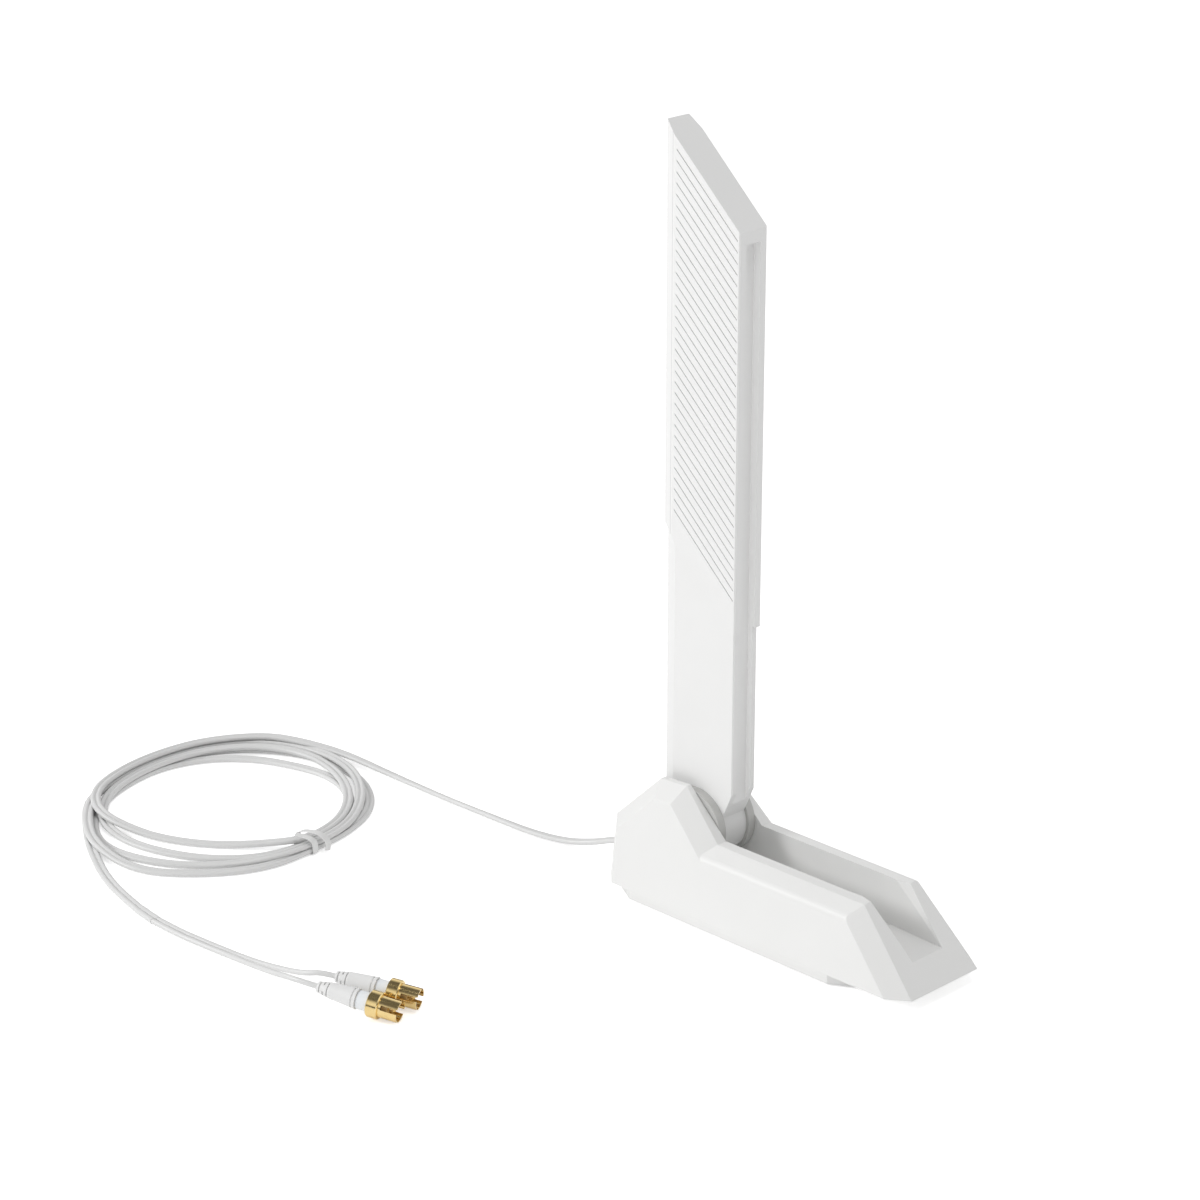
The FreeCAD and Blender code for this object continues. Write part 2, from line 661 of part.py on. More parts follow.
def stadium_wire(centre, across, half_width, half_height):
    """A flat outline with round ends about a centre, along a level direction."""
    flat, out = across * (half_width - half_height), across * half_height
    up = Vector(0, 0, half_height)
    left, right = centre - flat, centre + flat
    edges = [Part.LineSegment(left + up, right + up), Part.Arc(right + up, right + out, right - up),
             Part.LineSegment(right - up, left - up), Part.Arc(left - up, left - out, left + up)]
    return Part.Wire([edge.toShape() for edge in edges])


def exit_wire(half_width, half_height, y):
    return stadium_wire(Vector(0, y, EXIT_Z), Vector(1, 0, 0), half_width, half_height)


def stadium(half_width, half_height, low, high):
    return Part.Face(exit_wire(half_width, half_height, low)).extrude(Vector(0, high - low, 0))


def cord_grommet():
    """Strain relief moulded on the twin lead: a flange inside the rear wall and a tapered nose outside."""
    wide, tall = GROMMET_HALF_WIDTH, GROMMET_HALF_HEIGHT
    flange = stadium(wide + GROMMET_FLANGE, tall + GROMMET_FLANGE, REAR_WALL_Y - GROMMET_FLANGE, REAR_WALL_Y)
    neck = stadium(wide, tall, REAR_WALL_Y, HALF_LENGTH)
    tip = exit_wire(wide - GROMMET_TIP_TAPER, tall - GROMMET_TIP_TAPER, GROMMET_TIP_Y)
    nose = Part.makeLoft([exit_wire(wide, tall, HALF_LENGTH), tip], True, True)
    return flange.fuse([neck, nose]).removeSplitter()


def tie_box(grow, width):
    """The tied stretch of the bundle, on the coil's near side."""
    x, y = COIL_CENTRE
    low, high = TIE_SPAN
    return block((x - width / 2, y + low - grow, TIE_WALL - grow),
                 (x + width / 2, y + high + grow, COIL_HEIGHT - TIE_WALL + grow))


def cord_coil():
    """The outer shape of the loose turns, wider where they fan out and pinched at the tie."""
    round_turns = Part.makeCylinder(COIL_OUTER_R, COIL_HEIGHT, Vector(*COIL_CENTRE, 0))
    fan = Part.makeCylinder(FAN_R, COIL_HEIGHT, Vector(*FAN_CENTRE, 0))
    ring = round_turns.fuse(fan).removeSplitter()
    ring = ring.cut(Part.makeCylinder(COIL_INNER_R, COIL_HEIGHT, Vector(*COIL_CENTRE, 0)))
    x, y = COIL_CENTRE
    band = block((x - TIE_WIDTH / 2, y - COIL_OUTER_R - FAN_R, 0), (x + TIE_WIDTH / 2, y, COIL_HEIGHT))
    return ring.cut(band.cut(tie_box(0, TIE_WIDTH)))


def coil_tie():
    return tie_box(TIE_WALL, TIE_WIDTH).cut(tie_box(0, TIE_WIDTH))


def split_sleeve():
    """Shrunk sleeve over the place where the twin lead parts."""
    along = SLEEVE_END - SLEEVE_START
    across = Vector(-along.y, along.x, 0).normalize()
    outline = stadium_wire(SLEEVE_START, across, SLEEVE_HALF_WIDTH, SLEEVE_HALF_HEIGHT)
    return Part.Face(outline).extrude(along)


def plug_tilt():
    """The plug lies nose down, on its collar's front edge and its sleeve's tip."""
    return math.atan2(COLLAR_R - SLEEVE_R, SLEEVE_LENGTH + COLLAR_EDGE)


def plug_tail(place):
    reach = PLUG_BOOT_LENGTH + COLLAR_LENGTH - COLLAR_EDGE
    height = COLLAR_R * math.cos(plug_tilt()) + reach * math.sin(plug_tilt())
    return Vector(*place, height + FLOOR_GAP)


def plug_direction(heading):
    level = Vector(*heading, 0).normalize()
    return level * math.cos(plug_tilt()) - Vector(0, 0, math.sin(plug_tilt()))


def turned(points, sweep=360):
    """Revolves a (station, radius) outline about the plug's axis, which lies along local X."""
    outline = [Vector(station, 0, radius) for station, radius in points]
    return face_of(outline).revolve(Vector(0, 0, 0), Vector(1, 0, 0), sweep)


def boot_ring(station, radius, depth, sweep=360):
    """Cutter for a groove in the boot, all round or over a part of the turn."""
    floor = radius - depth
    end = station + BOOT_RING_WIDTH
    return turned([(station, floor), (station, COLLAR_R), (end, COLLAR_R), (end, floor)], sweep)


def plug_boot():
    """Moulded boot: a tail with staggered slits, a slowly widening body, and a plain neck between two rings."""
    neck = PLUG_BOOT_LENGTH - PLUG_NECK_LENGTH
    boot = turned([(0, 0), (0, PLUG_TAIL_R), (PLUG_TAIL_LENGTH, PLUG_SHOULDER_R), (neck, PLUG_BODY_R),
                   (neck, PLUG_NECK_R), (PLUG_BOOT_LENGTH, PLUG_NECK_R), (PLUG_BOOT_LENGTH, 0)])
    cuts = [boot_ring(neck - NECK_RING, PLUG_BODY_R, BOOT_RING_DEPTH),
            boot_ring(neck, PLUG_NECK_R, BOOT_RING_DEPTH)]
    widening = (PLUG_SHOULDER_R - PLUG_TAIL_R) / PLUG_TAIL_LENGTH
    for index, station in enumerate(TAIL_SLITS):
        for turn in (0, 180):
            slit = boot_ring(station, PLUG_TAIL_R + widening * station, TAIL_SLIT_DEPTH, TAIL_SLIT_SWEEP)
            slit.rotate(Vector(0, 0, 0), Vector(1, 0, 0), turn + 90 * index)
            cuts.append(slit)
    return boot.cut(cuts)


def plug_collar():
    start, end = PLUG_BOOT_LENGTH, PLUG_BOOT_LENGTH + COLLAR_LENGTH
    low = COLLAR_R - COLLAR_EDGE
    return turned([(start, 0), (start, low), (start + COLLAR_EDGE, COLLAR_R), (end - COLLAR_EDGE, COLLAR_R),
                   (end, low), (end, 0)])


def plug_sleeve():
    """Outer contact: a thin tube split by four slots so that it springs over the jack."""
    start = PLUG_BOOT_LENGTH + COLLAR_LENGTH
    end = start + SLEEVE_LENGTH
    pipe = turned([(start, SLEEVE_BORE), (start, SLEEVE_R), (end, SLEEVE_R), (end, SLEEVE_BORE)])
    half = SLEEVE_SLOT_WIDTH / 2
    slots = []
    for turn in SLEEVE_SLOT_TURNS:
        slot = block((end - SLEEVE_SLOT_LENGTH, -COLLAR_R, -half), (end + half, COLLAR_R, half))
        slot.rotate(Vector(0, 0, 0), Vector(1, 0, 0), turn)
        slots.append(slot)
    return pipe.cut(slots)


def plug_insulator():
    start = PLUG_BOOT_LENGTH + COLLAR_LENGTH
    end = start + INSULATOR_LENGTH
    return turned([(start, CONTACT_R), (start, INSULATOR_R), (end, INSULATOR_R), (end, CONTACT_R)])


def plug_contact():
    start = PLUG_BOOT_LENGTH + COLLAR_LENGTH
    tip = start + CONTACT_LENGTH
    return turned([(start, 0), (start, CONTACT_R), (tip - CONTACT_R, CONTACT_R), (tip, CONTACT_R / 2),
                   (tip, 0)])


def lay_plug(shape, place, heading):
    turn = Rotation(Vector(1, 0, 0), plug_direction(heading))
    shape.Placement = Placement(plug_tail(place), turn)
    return shape


def single_route(middle, lane, place, heading):
    """From the split sleeve along the floor, then up and into the raised back of the plug's boot."""
    along = (SLEEVE_END - SLEEVE_START).normalize()
    across = Vector(-along.y, along.x, 0)
    start = SLEEVE_END + across * (lane * SINGLE_SPREAD)
    tail = plug_tail(place)
    lead_in = tail - plug_direction(heading) * SINGLE_LEAD_IN
    return [start] + middle + [lead_in, tail]


def parts():
    left_shell, right_shell = blade_shells()
    made = {
        "base_housing": base_housing(),
        "base_plate": base_plate(),
        "foot_pad": foot_pad(),
        "base_magnets": base_magnets(),
        "base_screws": base_screws(),
        "blade_shell_left": left_shell,
        "blade_shell_right": right_shell,
        "antenna_board": board_form(),
        "antenna_radiators": antenna_radiators(),
        "cord_grommet": cord_grommet(),
        "twin_lead": cord_tube("twin_lead", TWIN_LEAD_ROUTE, TWIN_R),
        "cord_coil": cord_coil(),
        "coil_tie": coil_tie(),
        "twin_tail": cord_tube("twin_tail", TWIN_TAIL_ROUTE, TWIN_R),
        "split_sleeve": split_sleeve(),
    }
    for name, side in (("left", -1), ("right", 1)):
        made["hinge_bush_" + name] = hinge_bush(side)
        made["friction_disc_" + name] = friction_disc(side)
        made["blade_lead_" + name] = blade_lead(side)
        made["base_lead_" + name] = base_lead(side)
    plugs = (("front", -1, FRONT_SINGLE_MIDDLE, FRONT_PLUG_TAIL, FRONT_PLUG_HEADING),
             ("rear", 1, REAR_SINGLE_MIDDLE, REAR_PLUG_TAIL, REAR_PLUG_HEADING))
    for name, lane, middle, place, heading in plugs:
        route = single_route(middle, lane, place, heading)
        made["single_lead_" + name] = cord_tube("single_lead_" + name, route, COAX_R)
        made["plug_boot_" + name] = lay_plug(plug_boot(), place, heading)
        made["plug_collar_" + name] = lay_plug(plug_collar(), place, heading)
        made["plug_sleeve_" + name] = lay_plug(plug_sleeve(), place, heading)
        made["plug_insulator_" + name] = lay_plug(plug_insulator(), place, heading)
        made["plug_contact_" + name] = lay_plug(plug_contact(), place, heading)
    return made


os.makedirs("parts", exist_ok=True)
for node, shape in parts().items():
    shape.exportStep("parts/" + node + ".step")
    print(node, shape.isValid(), len(shape.Solids), round(shape.Volume, 1))
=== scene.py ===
import math

import bmesh
import bpy
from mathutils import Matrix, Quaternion, Vector


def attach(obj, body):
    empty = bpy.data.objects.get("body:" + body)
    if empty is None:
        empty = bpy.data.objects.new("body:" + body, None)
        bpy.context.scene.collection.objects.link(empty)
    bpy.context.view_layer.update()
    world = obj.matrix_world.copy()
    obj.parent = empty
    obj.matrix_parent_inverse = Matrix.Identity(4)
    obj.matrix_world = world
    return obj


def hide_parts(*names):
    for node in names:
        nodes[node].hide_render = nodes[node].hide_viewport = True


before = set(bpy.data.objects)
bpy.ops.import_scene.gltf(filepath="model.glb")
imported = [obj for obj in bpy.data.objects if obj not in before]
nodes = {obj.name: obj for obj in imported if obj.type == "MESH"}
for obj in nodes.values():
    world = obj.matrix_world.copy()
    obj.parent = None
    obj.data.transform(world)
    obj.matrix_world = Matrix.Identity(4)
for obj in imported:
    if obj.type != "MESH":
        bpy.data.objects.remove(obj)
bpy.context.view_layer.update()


# Base housing and base plate.
# Two white ABS mouldings: the raked housing with its channel and ears, and the plinth that closes it.
# Their skin has the very fine spark-eroded grain of the mould, and they are held by four hidden screws.
NOISE_LOW = 0.3
NOISE_HIGH = 0.7
MOULD_CLOUD_SCALE = 35.0
MOULD_GRAIN_STRENGTH = 0.35
WELD_REACH = 0.000001
EDGE_ROUNDING = 0.0004
EDGE_ANGLE = 25.0


def moulded_grain():
    """Shader group: a fine mould grain and a broad, faint cloud, both on the piece's own coordinates."""
    group = bpy.data.node_groups.new("moulded_grain", "ShaderNodeTree")
    group.interface.new_socket("Grain Scale", in_out="INPUT", socket_type="NodeSocketFloat")
    group.interface.new_socket("Cloud Scale", in_out="INPUT", socket_type="NodeSocketFloat")
    group.interface.new_socket("Grain", in_out="OUTPUT", socket_type="NodeSocketFloat")
    group.interface.new_socket("Cloud", in_out="OUTPUT", socket_type="NodeSocketFloat")
    enter = group.nodes.new("NodeGroupInput")
    leave = group.nodes.new("NodeGroupOutput")
    place = group.nodes.new("ShaderNodeTexCoord")
    for source, target, detail in (("Grain Scale", "Grain", 2.0), ("Cloud Scale", "Cloud", 3.0)):
        noise = group.nodes.new("ShaderNodeTexNoise")
        noise.inputs["Detail"].default_value = detail
        group.links.new(place.outputs["Object"], noise.inputs["Vector"])
        group.links.new(enter.outputs[source], noise.inputs["Scale"])
        group.links.new(noise.outputs["Fac"], leave.inputs[target])
    return group


grain_group = moulded_grain()


def blank_material(name):
    material = bpy.data.materials.new(name)
    material.use_nodes = True
    return material, material.node_tree, material.node_tree.nodes["Principled BSDF"]


def spread(tree, source, low, high, target):
    """Feeds a socket with a noise's usual range stretched from low to high."""
    stretch = tree.nodes.new("ShaderNodeMapRange")
    stretch.inputs["From Min"].default_value = NOISE_LOW
    stretch.inputs["From Max"].default_value = NOISE_HIGH
    stretch.inputs["To Min"].default_value = low
    stretch.inputs["To Max"].default_value = high
    tree.links.new(source, stretch.inputs["Value"])
    tree.links.new(stretch.outputs["Result"], target)


def two_tone(tree, source, dark, light, target):
    """Feeds a colour socket with a mask's way between two close tones."""
    mix = tree.nodes.new("ShaderNodeMix")
    mix.data_type = "RGBA"
    mix.inputs["A"].default_value = (*dark, 1)
    mix.inputs["B"].default_value = (*light, 1)
    tree.links.new(source, mix.inputs["Factor"])
    tree.links.new(mix.outputs["Result"], target)


def raise_bump(tree, source, distance, strength, shader):
    bump = tree.nodes.new("ShaderNodeBump")
    bump.inputs["Distance"].default_value = distance
    bump.inputs["Strength"].default_value = strength
    tree.links.new(source, bump.inputs["Height"])
    tree.links.new(bump.outputs["Normal"], shader.inputs["Normal"])


def moulding(name, dark, light, gloss, grain_scale, grain_depth):
    """A moulded plastic or rubber: two close tones, a roughness range and a grain of its own size."""
    material, tree, shader = blank_material(name)
    grain = tree.nodes.new("ShaderNodeGroup")
    grain.node_tree = grain_group
    grain.inputs["Grain Scale"].default_value = grain_scale
    grain.inputs["Cloud Scale"].default_value = MOULD_CLOUD_SCALE
    two_tone(tree, grain.outputs["Cloud"], dark, light, shader.inputs["Base Color"])
    spread(tree, grain.outputs["Cloud"], gloss[0], gloss[1], shader.inputs["Roughness"])
    raise_bump(tree, grain.outputs["Grain"], grain_depth, MOULD_GRAIN_STRENGTH, shader)
    return material


def dress(material, *names):
    """Gives CAD nodes, which keep their shape, their finished material."""
    for name in names:
        nodes[name].data.materials.clear()
        nodes[name].data.materials.append(material)


def soften(*names):
    """Rounds the corners of CAD nodes a little, as the corners of a mould are."""
    for name in names:
        weld = nodes[name].modifiers.new("weld", "WELD")
        weld.merge_threshold = WELD_REACH
        corners = nodes[name].modifiers.new("corners", "BEVEL")
        corners.width = EDGE_ROUNDING
        corners.segments = 2
        corners.limit_method = "ANGLE"
        corners.angle_limit = math.radians(EDGE_ANGLE)


white_moulding = moulding("white_moulding", dark=(0.79, 0.79, 0.78), light=(0.82, 0.82, 0.812),
                          gloss=(0.42, 0.5), grain_scale=2600.0, grain_depth=0.00003)
dress(white_moulding, "base_housing", "base_plate")
soften("base_housing", "base_plate")


# Base magnets.
# Two pressed and nickel-plated discs that lie in pockets of the plate.
# They hold the base to a steel case, and the pad keeps them in.
PLATE_CLOUD_SCALE = 120.0
STREAK_DEPTH = 0.00001
STREAK_STRENGTH = 0.15


def plated(name, dark, light, gloss, streak_scale):
    """A plated metal with faint streaks in its lustre."""
    material, tree, shader = blank_material(name)
    shader.inputs["Metallic"].default_value = 1.0
    grain = tree.nodes.new("ShaderNodeGroup")
    grain.node_tree = grain_group
    grain.inputs["Grain Scale"].default_value = streak_scale
    grain.inputs["Cloud Scale"].default_value = PLATE_CLOUD_SCALE
    two_tone(tree, grain.outputs["Cloud"], dark, light, shader.inputs["Base Color"])
    spread(tree, grain.outputs["Grain"], gloss[0], gloss[1], shader.inputs["Roughness"])
    raise_bump(tree, grain.outputs["Grain"], STREAK_DEPTH, STREAK_STRENGTH, shader)
    return material


nickel_plate = plated("nickel_plate", dark=(0.52, 0.52, 0.53), light=(0.62, 0.62, 0.63),
                      gloss=(0.22, 0.34), streak_scale=3000.0)
dress(nickel_plate, "base_magnets")


# Base screws.
# Four zinc-plated steel screws with pan heads, cross recesses and rolled threads.
# They are driven up through the plate into the housing's bosses before the pad covers them.
zinc_plate = plated("zinc_plate", dark=(0.42, 0.43, 0.45), light=(0.56, 0.57, 0.58),
                    gloss=(0.28, 0.42), streak_scale=4000.0)
STEPS_PER_PITCH = 6.0
SCREW_SIDES = 24
POINT_SHARE = 0.3
SHARP_ANGLE = 40.0
SCREW_SIZES = {
    "Head Radius": 0.0024,
    "Head Height": 0.0014,
    "Head Rounding": 0.0006,
    "Thread Radius": 0.0012,
    "Thread Depth": 0.0003,
    "Thread Pitch": 0.0008,
    "Screw Length": 0.0109,
    "Point Length": 0.0016,
    "Recess Width": 0.0007,
    "Recess Reach": 0.0028,
    "Recess Depth": 0.0009,
    "Boss Spread X": 0.0272,
    "Boss Spread Y": 0.044,
    "Boss Middle Y": -0.002,
    "Head Seat Z": 0.001,
}


def screw_tree():
    """Geometry tree: a turned bar with head, thread and point, cut by a cross and set at each boss."""
    tree = bpy.data.node_groups.new("base_screw_set", "GeometryNodeTree")
    tree.interface.new_socket("Geometry", in_out="OUTPUT", socket_type="NodeSocketGeometry")
    for label in SCREW_SIZES:
        tree.interface.new_socket(label, in_out="INPUT", socket_type="NodeSocketFloat")
    tree.interface.new_socket("Metal", in_out="INPUT", socket_type="NodeSocketMaterial")
    size = tree.nodes.new("NodeGroupInput").outputs

    def connect(source, socket):
        if isinstance(source, bpy.types.NodeSocket):
            tree.links.new(source, socket)
        else:
            socket.default_value = source

    def feed(node, **sources):
        for label, source in sources.items():
            connect(source, node.inputs[label.replace("_", " ")])
        return node.outputs[0]

    def calculate(operation, *terms):
        node = tree.nodes.new("ShaderNodeMath")
        node.operation = operation
        for socket, term in zip(node.inputs, terms):
            connect(term, socket)
        return node.outputs["Value"]

    def ramp(value, start, end, low, high):
        node = tree.nodes.new("ShaderNodeMapRange")
        node.interpolation_type = "SMOOTHSTEP"
        return feed(node, Value=value, From_Min=start, From_Max=end, To_Min=low, To_Max=high)

    def vector(**parts):
        return feed(tree.nodes.new("ShaderNodeCombineXYZ"), **parts)

    top = vector(Z=size["Screw Length"])
    axis = feed(tree.nodes.new("GeometryNodeCurvePrimitiveLine"), End=top)
    steps = tree.nodes.new("GeometryNodeResampleCurve")
    steps.mode = "LENGTH"
    feed(steps, Curve=axis, Length=calculate("DIVIDE", size["Thread Pitch"], STEPS_PER_PITCH))
    place = tree.nodes.new("ShaderNodeSeparateXYZ")
    feed(place, Vector=tree.nodes.new("GeometryNodeInputPosition").outputs["Position"])
    height = place.outputs["Z"]
    half_pitch = calculate("MULTIPLY", size["Thread Pitch"], 0.5)
    flank = calculate("DIVIDE", calculate("PINGPONG", height, half_pitch), half_pitch)
    flank_depth = calculate("MULTIPLY", size["Thread Depth"], flank)
    thread = calculate("SUBTRACT", size["Thread Radius"], flank_depth)
    point_start = calculate("SUBTRACT", size["Screw Length"], size["Point Length"])
    shank = calculate("MULTIPLY", thread, ramp(height, point_start, size["Screw Length"], 1.0, POINT_SHARE))
    head_face = calculate("SUBTRACT", size["Head Radius"], size["Head Rounding"])
    head = ramp(height, 0.0, size["Head Rounding"], head_face, size["Head Radius"])
    in_head = calculate("LESS_THAN", height, size["Head Height"])
    radius = calculate("MAXIMUM", shank, calculate("MULTIPLY", head, in_head))
    rim = feed(tree.nodes.new("GeometryNodeCurvePrimitiveCircle"), Resolution=SCREW_SIDES, Radius=1.0)
    bar = tree.nodes.new("GeometryNodeCurveToMesh")
    feed(bar, Curve=steps.outputs["Curve"], Profile_Curve=rim, Scale=radius, Fill_Caps=True)
    recess_height = calculate("MULTIPLY", size["Recess Depth"], 2.0)
    cut = tree.nodes.new("GeometryNodeMeshBoolean")
    cut.operation = "DIFFERENCE"
    cut.solver = "MANIFOLD"
    tree.links.new(bar.outputs["Mesh"], cut.inputs["Mesh 1"])
    for wide, deep in (("Recess Reach", "Recess Width"), ("Recess Width", "Recess Reach")):
        arm_size = vector(X=size[wide], Y=size[deep], Z=recess_height)
        arm = feed(tree.nodes.new("GeometryNodeMeshCube"), Size=arm_size)
        tree.links.new(arm, cut.inputs["Mesh 2"])
    bosses = feed(tree.nodes.new("GeometryNodeMeshGrid"), Size_X=size["Boss Spread X"],
                  Size_Y=size["Boss Spread Y"], Vertices_X=2, Vertices_Y=2)
    seats = feed(tree.nodes.new("GeometryNodeTransform"), Geometry=bosses,
                 Translation=vector(Y=size["Boss Middle Y"], Z=size["Head Seat Z"]))
    driven = feed(tree.nodes.new("GeometryNodeInstanceOnPoints"), Points=seats, Instance=cut.outputs["Mesh"])
    solid = feed(tree.nodes.new("GeometryNodeRealizeInstances"), Geometry=driven)
    finished = feed(tree.nodes.new("GeometryNodeSetMaterial"), Geometry=solid, Material=size["Metal"])
    tree.links.new(finished, tree.nodes.new("NodeGroupOutput").inputs["Geometry"])
    return tree


def grown_mesh(name, tree, values):
    """The plain mesh that a geometry tree grows from its named inputs."""
    holder = bpy.data.objects.new(name, bpy.data.meshes.new(name))
    bpy.context.scene.collection.objects.link(holder)
    growth = holder.modifiers.new(name, "NODES")
    growth.node_group = tree
    for item in tree.interface.items_tree:
        if item.in_out == "INPUT":
            growth[item.identifier] = values[item.name]
    mesh = bpy.data.meshes.new_from_object(holder.evaluated_get(bpy.context.evaluated_depsgraph_get()))
    holder.modifiers.remove(growth)
    bpy.data.objects.remove(holder)
    return mesh


def new_piece(name, mesh, material, body):
    """A finished piece that rides on a body and takes the given material."""
    piece = bpy.data.objects.new(name, mesh)
    bpy.context.scene.collection.objects.link(piece)
    mesh.materials.clear()
    mesh.materials.append(material)
    for face in mesh.polygons:
        face.use_smooth = True
    mesh.set_sharp_from_angle(angle=math.radians(SHARP_ANGLE))
    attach(piece, body)
    return piece


screw_mesh = grown_mesh("plate_screws", screw_tree(), {**SCREW_SIZES, "Metal": zinc_plate})
plate_screws = new_piece("plate_screws", screw_mesh, zinc_plate, "base")
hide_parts("base_screws")


# Foot pad.
# A die-cut sheet of black rubber with a fine grain, which keeps the base from sliding.
# It is stuck under the plate, over the magnets and the heads of the screws.
pad_rubber = moulding("pad_rubber", dark=(0.035, 0.035, 0.036), light=(0.06, 0.06, 0.061),
                      gloss=(0.75, 0.9), grain_scale=1800.0, grain_depth=0.00012)
dress(pad_rubber, "foot_pad")


# Hinge bushes and friction discs.
# Acetal turnings, toned mid grey as painted shade for the ears' shadow in the hinge: the hollow bushes
# carry the blade and pass the leads, and the discs fill the gap between the blade and the ears and hold
# the blade at any angle.
hub_acetal_painted_shade = moulding("hub_acetal_painted_shade", dark=(0.5, 0.5, 0.485), light=(0.56, 0.56, 0.545),
                      gloss=(0.4, 0.52), grain_scale=2200.0, grain_depth=0.00003)
dress(hub_acetal_painted_shade, "hinge_bush_left", "hinge_bush_right", "friction_disc_left", "friction_disc_right")


# Antenna board, radiators and inner leads.
# A green glass laminate with tinned copper dipoles, held on posts between the blade's shells.
# Each thin coaxial lead is soldered to it and runs down the stem and out through its bush.
WEAVE_SCALE = 1600.0
WEAVE_DARK = (0.02, 0.13, 0.05)
WEAVE_LIGHT = (0.025, 0.16, 0.065)
WEAVE_DEPTH = 0.00001
WEAVE_STRENGTH = 0.3
laminate, laminate_tree, laminate_shader = blank_material("board_laminate")
laminate_place = laminate_tree.nodes.new("ShaderNodeTexCoord")
laminate_weave = laminate_tree.nodes.new("ShaderNodeTexChecker")
laminate_weave.inputs["Scale"].default_value = WEAVE_SCALE
laminate_weave.inputs["Color1"].default_value = (*WEAVE_DARK, 1)
laminate_weave.inputs["Color2"].default_value = (*WEAVE_LIGHT, 1)
laminate_tree.links.new(laminate_place.outputs["Object"], laminate_weave.inputs["Vector"])
laminate_tree.links.new(laminate_weave.outputs["Color"], laminate_shader.inputs["Base Color"])
raise_bump(laminate_tree, laminate_weave.outputs["Fac"], WEAVE_DEPTH, WEAVE_STRENGTH, laminate_shader)
laminate_shader.inputs["Roughness"].default_value = 0.35
dress(laminate, "antenna_board")
tinned_copper = plated("tinned_copper", dark=(0.62, 0.36, 0.22), light=(0.74, 0.47, 0.31),
                       gloss=(0.3, 0.45), streak_scale=2500.0)
dress(tinned_copper, "antenna_radiators")
lead_jacket = moulding("lead_jacket", dark=(0.82, 0.82, 0.81), light=(0.87, 0.87, 0.86),
                       gloss=(0.36, 0.46), grain_scale=3000.0, grain_depth=0.00002)
dress(lead_jacket, "blade_lead_left", "blade_lead_right", "base_lead_left", "base_lead_right")


# Blade shells.
# Two white half shells that close on the middle plane, with slanted lines engraved in both broad faces
# and a long groove in the thin front side. Same plastic as the base, with a slightly smoother grain.
LINE_FLOOR = 0.0058
GROOVE_HALF = 0.0032
PLACE_REACH = 0.00005
FACING_REACH = 0.1
# Painted shade for the floors of the engraved lines.
LINE_PAINTED_SHADE = (0.6, 0.6, 0.6)
# A painted highlight for the walls of the front groove, which face across like the broad faces.
GROOVE_PAINTED_LIGHT = (0.97, 0.97, 0.965)


def within(tree, source, middle, reach):
    """A mask that is 1 where a value lies within reach of a middle."""
    near = tree.nodes.new("ShaderNodeMath")
    near.operation = "COMPARE"
    near.inputs[1].default_value = middle
    near.inputs[2].default_value = reach
    tree.links.new(source, near.inputs[0])
    return near.outputs["Value"]


def times(tree, first, second):
    product = tree.nodes.new("ShaderNodeMath")
    product.operation = "MULTIPLY"
    tree.links.new(first, product.inputs[0])
    tree.links.new(second, product.inputs[1])
    return product.outputs["Value"]


def retint(tree, mask, tone, shader):
    """Lays one more tone over the colour that a shader already has, where a mask says so."""
    link = shader.inputs["Base Color"].links[0]
    under = link.from_socket
    tree.links.remove(link)
    over = tree.nodes.new("ShaderNodeMix")
    over.data_type = "RGBA"
    over.inputs["B"].default_value = (*tone, 1)
    tree.links.new(mask, over.inputs["Factor"])
    tree.links.new(under, over.inputs["A"])
    tree.links.new(over.outputs["Result"], shader.inputs["Base Color"])


def blade_finish(name):
    """The shells' plastic, with painted shade on the floors of the engraved lines and a painted highlight on
    the walls of the front groove.
    """
    material = moulding(name, dark=(0.79, 0.79, 0.784), light=(0.82, 0.82, 0.815),
                        gloss=(0.4, 0.48), grain_scale=3200.0, grain_depth=0.00002)
    tree = material.node_tree
    place = tree.nodes.new("ShaderNodeTexCoord")
    sides = []
    for source in ("Object", "Normal"):
        split = tree.nodes.new("ShaderNodeSeparateXYZ")
        tree.links.new(place.outputs[source], split.inputs["Vector"])
        width = tree.nodes.new("ShaderNodeMath")
        width.operation = "ABSOLUTE"
        tree.links.new(split.outputs["X"], width.inputs[0])
        sides.append(width.outputs["Value"])
    shader = tree.nodes["Principled BSDF"]
    faces_across = within(tree, sides[1], 1.0, FACING_REACH)
    # Painted shade on the engraved lines' floors, then a painted highlight on the front groove's walls.
    for depth, tone in ((LINE_FLOOR, LINE_PAINTED_SHADE), (GROOVE_HALF, GROOVE_PAINTED_LIGHT)):
        at_depth = within(tree, sides[0], depth, PLACE_REACH)
        retint(tree, times(tree, at_depth, faces_across), tone, shader)
    return material


dress(blade_finish("blade_moulding_painted_shade_and_light"), "blade_shell_left", "blade_shell_right")


# Cord grommet.
# A strain relief of the same soft white rubber as the plugs' boots.
# It is moulded on the twin lead and snapped into the rear wall.
BOOT_RUBBER = {
    "dark": (0.77, 0.77, 0.766),
    "light": (0.82, 0.82, 0.817),
    "gloss": (0.45, 0.55),
    "grain_scale": 2400.0,
    "grain_depth": 0.00003,
}
dress(moulding("boot_rubber", **BOOT_RUBBER), "cord_grommet")


